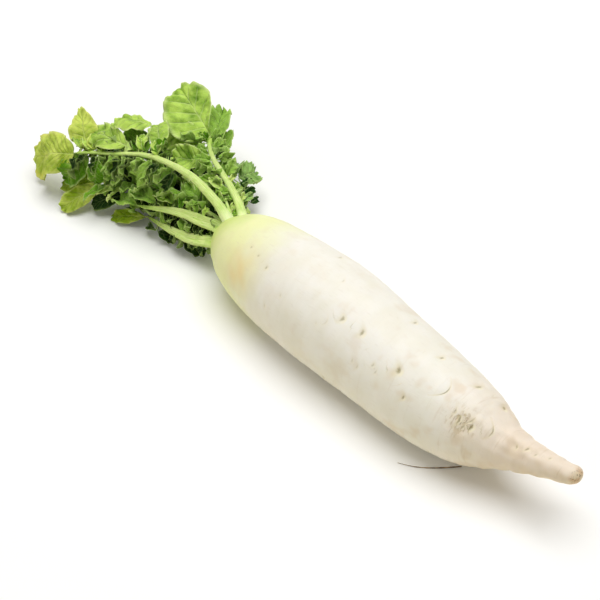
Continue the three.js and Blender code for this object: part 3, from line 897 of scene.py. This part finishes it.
def blade_sheet(share, across, length, width, style, seed):
    """A blade's points laid out along X, and how many side veins come before each."""
    generator = np.random.default_rng(seed)
    out = np.abs(across) + 0 * share
    left = across > 0

    # The flat outline. Each row starts on the midrib and leans forward to the rim, as the veins do.
    rim_share = (1 - np.cos(math.pi * share**0.75)) / 2
    middle_share = share ** style.lean
    x = middle_share + (rim_share - middle_share) * out**0.85
    skew = np.where(left, -style.skew, style.skew)
    y = across * blade_outline(rim_share, width / 2, skew, style)
    y = y * np.where(left, 1 + style.lopsided, 1 - style.lopsided)
    shift = np.where(left, generator.random(), generator.random())
    lobes = style.teeth * share**0.9 + 0.4 * shift
    size = 1 + 0.35 * np.sin(math.tau * (0.43 * lobes + 3 * shift))
    cut = style.tooth * size * (1 - np.sqrt(np.sqrt(np.sin(math.pi * lobes) ** 2 + 0.01)))
    shrink = 1 - cut * out**2
    x = (FULLEST + (x - FULLEST) * np.where(x > FULLEST, shrink, 1)) * length
    y = y * shrink

    # The heights: swelling between the veins, waves along the rim, a limp sag and a curl.
    turns = style.veins * share + 0.5 * smoothstep(-0.02, 0.02, across)
    swell = np.abs(np.sin(math.pi * (turns - 0.5))) ** 0.8
    waves = style.waves * share + np.where(left, generator.random(), generator.random())
    height = style.pucker * (swell - 0.5) * (4 * out * (1 - out * 0.75)) ** 0.6
    height += style.ruffle * out**2.5 * np.sin(math.tau * waves)
    height += style.ruffle * 0.3 * out**4 * np.sin(math.tau * (2.3 * waves + 0.3))
    height += style.cup * out**2 + style.fold * 0.5 * out
    height += style.swell * np.cos(math.tau * style.ripples * share + 0.4 * across)
    flat = np.stack([x, y], axis=-1)
    limp = wobble(flat, width * 0.9, seed + 1) * smoothstep(0, 0.5, x / length)
    height += style.limp * limp
    height += 0.014 * wobble(flat, 4.5, seed + 2) * smoothstep(0, 0.3, out)
    z = height * width * smoothstep(0, 0.15, share) - style.curl * length * (x / length) ** 2
    return x, y, z, turns


def stalklet_path(start, start_way, end, end_way):
    """A curve from the stalk's middle to a blade's base."""
    reach = np.linalg.norm(end - start)
    controls = [start, start + start_way * reach * 0.4, end - end_way * reach * 0.15, end]
    share = np.linspace(0, 1, STALKLET_POINTS)[:, None]
    weights = [(1 - share) ** 3, 3 * share * (1 - share) ** 2, 3 * share**2 * (1 - share), share**3]
    return sum(weight * control for weight, control in zip(weights, controls))


def bend_along(points, path, start, end, upper, twist):
    """Points laid out along X from start to end, moved onto a path and twisted from X = 0 on."""
    x, y, z = points
    even = np.linspace(start, end, BEND_POINTS)
    line = smooth_curve(path, (even - start) / (end - start))
    tangents = tangents_of(line)
    level = unit(np.cross(upper, tangents))
    above = np.cross(tangents, level)
    turn = np.radians(twist) * np.clip(even / end, 0, 1)[:, None]
    side = level * np.cos(turn) + above * np.sin(turn)
    over = above * np.cos(turn) - level * np.sin(turn)

    def at_x(values):
        return np.stack([np.interp(x, even, column) for column in values.T], axis=-1)

    return at_x(line) + at_x(side) * y[..., None] + at_x(over) * z[..., None]


def both_faces(surface, out, rib_radius, ridge, in_stem, round_stem):
    """Rings round a surface, thick at the midrib, round at the rim and all round on the stalklet."""
    normal = unit(np.cross(np.gradient(surface, axis=0), np.gradient(surface, axis=1)))
    edge = np.sqrt(1 - ROUNDING * out**6) * (1 - in_stem)
    upper_half = (SHEET + 0.3 * rib_radius * ridge) * edge + round_stem * 0.8
    lower_half = (SHEET + 0.9 * rib_radius * ridge) * edge + round_stem
    top = surface + normal * np.maximum(upper_half, RIM)[..., None]
    bottom = surface - normal * np.maximum(lower_half, RIM)[..., None]
    rings = np.concatenate([top, bottom[:, ::-1]], axis=1)
    rings[..., 2] = np.maximum(rings[..., 2], LOWEST)
    return rings


def blade_rings(middles, width, upper, stalk_path, style, seed, grid):
    """A blade on its little stalk: rings that run across the upper face and back across the lower."""
    width = width * style.grow
    length = curve_length(middles) * style.grow
    nearest = np.argmin(np.linalg.norm(stalk_path - middles[0], axis=1))
    after, before = min(nearest + 1, len(stalk_path) - 1), max(nearest - 1, 0)
    stalk_way = unit(stalk_path[after] - stalk_path[before])
    base_way = unit(middles[1] - middles[0])
    stalklet = stalklet_path(stalk_path[nearest], stalk_way, middles[0], base_way)
    reach = curve_length(stalklet)

    rows, half_columns, stalk_rows = grid
    share = np.linspace(0, 1, rows)[:, None]
    column = np.linspace(-1, 1, 2 * half_columns + 1)[None, :]
    across = np.sign(column) * np.abs(column) ** 1.35
    x, y, z, turns = blade_sheet(share, across, length, width, style, seed)

    # The stalklet's rows come first, as thick as the midrib's start.
    zero = 0 * across
    stem_x = np.linspace(-reach, 0, stalk_rows, endpoint=False)[:, None]
    stem = STALKLET * min(1.2, 0.5 + width / 30)
    rib = stem * (1 - 0.8 * share)

    def after_stem(stem_value, blade_value):
        return np.vstack([stem_value + 0 * stem_x, blade_value])

    x = after_stem(stem_x + zero, x)
    y = after_stem(stem * across, np.sign(across) * np.maximum(np.abs(y), 0.9 * rib * np.abs(across)))
    z = after_stem(zero, z)
    out = np.abs(across) + 0 * x
    rib_radius = after_stem(stem, rib + 0.06)
    in_stem = after_stem(1, 1 - smoothstep(0, 0.08, share))
    path = np.vstack([stalklet[:-1], middles[0] + (middles - middles[0]) * style.grow])
    surface = bend_along((x, y, z), path, -reach, length, upper, style.twist)
    surface[..., 2] = keep_above(surface[..., 2], SHEET + BLADE_LIFT, BLADE_EASE, BLADE_EASE)

    ridge = np.exp(-((y / (rib_radius * 1.1)) ** 2))
    round_stem = stem * np.sqrt(1 - ROUNDING * out**2) * in_stem
    rings = both_faces(surface, out, rib_radius, ridge, in_stem, round_stem)

    def both(values):
        values = values + 0 * x
        return np.concatenate([values, values[:, ::-1]], axis=1)

    yellow = after_stem(zero, smoothstep(0.7, 1, np.abs(across)) * smoothstep(0.2, 0.6, share))
    values = {
        "rib": both(np.maximum(ridge * smoothstep(0.05, 0.3, rib_radius), in_stem)),
        "rim": both(out),
        "phase": both(after_stem(zero, turns + zero)),
        "under": np.concatenate([0 * x, 1 + 0 * x], axis=1),
        "yellow": both(style.yellow * yellow),
        "tone": both(style.tone),
    }
    return rings, values


def small_lobes(path, seed, tone, count, span, sizes, lifts, near, slim):
    """Small curly lobes on both sides of a stalk, as a list of their rings and values."""
    generator = np.random.default_rng(seed)
    tangents = tangents_of(path)
    made = []
    for number in range(count):
        share = span[0] + (span[1] - span[0]) * (number + generator.random()) / count
        row = int(share * (len(path) - 1))
        along = tangents[row]
        near_side = (number * GOLDEN) % 1 < near
        sideways = unit(np.cross([0, 0, 1], along)) * (1 if near_side else -1)
        lift = np.array([0, 0, generator.uniform(*lifts)])
        forward = along * generator.uniform(0.2, 0.9)
        way = unit(forward + sideways * generator.uniform(0.5, 1.0) + lift)
        size = generator.uniform(*sizes)
        upper = unit(np.cross(way, np.cross([0, 0, 1], way)) + generator.normal(size=3) * 0.5)
        base = path[row] + way * size * generator.uniform(0.25, 0.5)
        bow = np.linspace(0, 1, LOBE_POINTS)[:, None]
        middles = base + way * size * bow + upper * size * 0.5 * bow * (1 - bow)
        # Painted shade: a lobe that lies below its stalk's middle is made darker.
        painted_shade = (base[2] - path[:, 2].mean()) * PAINTED_SHADE_RISE
        style = SimpleNamespace(**LOBE, tone=tone + painted_shade + generator.uniform(-TONE_SPREAD, TONE_SPREAD))
        lobe_seed = seed + number * 7 + 1
        made.append(blade_rings(middles, size * slim, upper, path, style, lobe_seed, LOBE_GRID))
    return made


# ---- The rootlet ----

def thread_rings(path, thickness, seed):
    """A thin tapering thread along a path."""
    tangents = tangents_of(path)
    sides = unit(np.cross([0, 0.1, 1], tangents))[:, None]
    overs = np.cross(tangents, sides[:, 0])[:, None]
    angle = np.linspace(0, math.tau, ROOTLET_SIDES, endpoint=False)[None, :, None]
    taper = thickness / 2 * np.linspace(1, 0.3, len(path))
    taper = taper * (1 + 0.2 * wobble(path, 6, seed))
    return path[:, None] + (sides * np.cos(angle) + overs * np.sin(angle)) * taper[:, None, None]


# ---- Stage, light and camera ----

def add_floor():
    """A white floor that keeps the shadow, and sends less light up than it shows.

    To the eye it also glows: faintly round the radish, and white far away from it.
    """
    shader = Shader(
        "floor", FLOOR_BOUNCE, Roughness=1.0, Specular_IOR_Level=0.0, Emission_Color=(1, 1, 1, 1)
    )
    seen = shader.seen()
    shader.paint(FLOOR_SEEN, seen)
    measured = shader.node("ShaderNodeVectorMath", {0: shader.place()}, operation="LENGTH")
    glow = shader.times(seen, shader.fade(measured.outputs["Value"], *FLOOR_GLOW_RISE))
    half = FLOOR_SIZE / 2
    corners = [(-half, -half, 0), (half, -half, 0), (half, half, 0), (-half, half, 0)]
    mesh = bpy.data.meshes.new("floor")
    mesh.from_pydata(corners, [], [(0, 1, 2, 3)])
    mesh.materials.append(shader.finish(Emission_Strength=glow))
    floor = add_object("floor", mesh)


def add_world():
    """White to look at, and a softer warm light on the object."""
    world = bpy.data.worlds.new("studio")
    bpy.context.scene.world = world
    world.use_nodes = True
    nodes = Nodes(world.node_tree)
    shown = nodes.mix(nodes.seen(), WORLD_LIGHT, WORLD_SEEN)
    nodes.tree.links.new(shown, nodes.tree.nodes["Background"].inputs["Color"])


def aim(made, place, back):
    """Put a lamp or a camera in a place, with this direction behind it."""
    made.location = place
    made.rotation_mode = "QUATERNION"
    made.rotation_quaternion = back.to_track_quat("Z", "Y")


def add_light(name, place, power, size):
    lamp = bpy.data.lights.new(name, "AREA")
    lamp.shape = "DISK"
    lamp.size = size
    lamp.energy = power
    aim(add_object(name, lamp), place, Vector(place) - CAMERA_TARGET)


def add_camera():
    azimuth, elevation = math.radians(CAMERA_AZIMUTH), math.radians(CAMERA_ELEVATION)
    level = math.cos(elevation)
    back = Vector((math.sin(azimuth) * level, -math.cos(azimuth) * level, math.sin(elevation)))
    camera = add_object("camera", bpy.data.cameras.new("camera"))
    camera.data.lens = CAMERA_LENS
    camera.data.sensor_width = CAMERA_SENSOR
    aim(camera, CAMERA_TARGET + back * CAMERA_DISTANCE, back)
    bpy.context.scene.camera = camera


# ---- The whole radish ----

def build_leaves():
    """Every stalk with its blades. Gives back where each stalk meets the crown, and its width there."""
    stalk_finish = stalk_material()
    seats = []
    seed = FIRST_SEED
    for leaf, section in STALKS.items():
        stalk = f"{leaf}_stalk"
        middles, widths = stalk_line(stalk)
        rings, values, path = stalk_rings(middles, widths, **section)
        add_piece(f"{stalk}_fine", [(rings, values)], stalk_finish, "stalk", stalk)
        seats.append((middles[0] - unit(middles[1] - middles[0]) * STALK_SEAT, widths[0]))
        for label, (slot, style) in BLADES[leaf].items():
            seed += SEED_STEP
            blade = f"{leaf}_{label}"
            blade_middles, width, upper = blade_rows(blade, path)
            grid = BIG_GRID if width > BIG else SMALL_GRID
            skin = blade_rings(blade_middles, width, upper, path, style, seed, grid)
            add_piece(f"{blade}_fine", [skin], leaf_materials[slot], slot, blade)
        for number, (slot, *settings) in enumerate(SMALL_LOBES[leaf]):
            seed += SEED_STEP
            lobes = small_lobes(path, seed, *settings)
            add_piece(f"{leaf}_small_lobes_{number + 1}", lobes, leaf_materials[slot], slot)
    return seats


def build_root(seats):
    add_piece("root_fine", [root_rings(seats)], root_material(), "root_skin", "root")


def build_rootlet():
    low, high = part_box("rootlet_1")
    start = np.array([high.x / MM, high.y / MM, ROOTLET_HEIGHT])
    end = np.array([low.x / MM, low.y / MM, ROOTLET_HEIGHT])
    share = np.linspace(0, 1, ROOTLET_POINTS)
    path = start + (end - start) * share[:, None]
    path[:, 1] -= ROOTLET_BOW * np.sin(math.pi * share)
    thread = (thread_rings(path, ROOTLET_WIDTH, 3), {})
    add_piece("rootlet_1_fine", [thread], rootlet_material(), "rootlet", "rootlet_1")


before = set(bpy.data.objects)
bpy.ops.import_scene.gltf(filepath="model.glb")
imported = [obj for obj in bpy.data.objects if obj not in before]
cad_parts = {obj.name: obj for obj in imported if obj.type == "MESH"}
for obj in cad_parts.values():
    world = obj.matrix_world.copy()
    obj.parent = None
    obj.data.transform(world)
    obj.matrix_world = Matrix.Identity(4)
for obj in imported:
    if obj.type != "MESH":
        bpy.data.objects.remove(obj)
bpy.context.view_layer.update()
leaf_materials = {slot: leaf_material(slot, shades) for slot, shades in LEAF_COLOURS.items()}
build_root(build_leaves())
build_rootlet()
add_floor()
add_world()
add_light("key", **KEY_LIGHT)
add_light("fill", **FILL_LIGHT)
add_camera()

bpy.context.scene.view_settings.view_transform = "Standard"
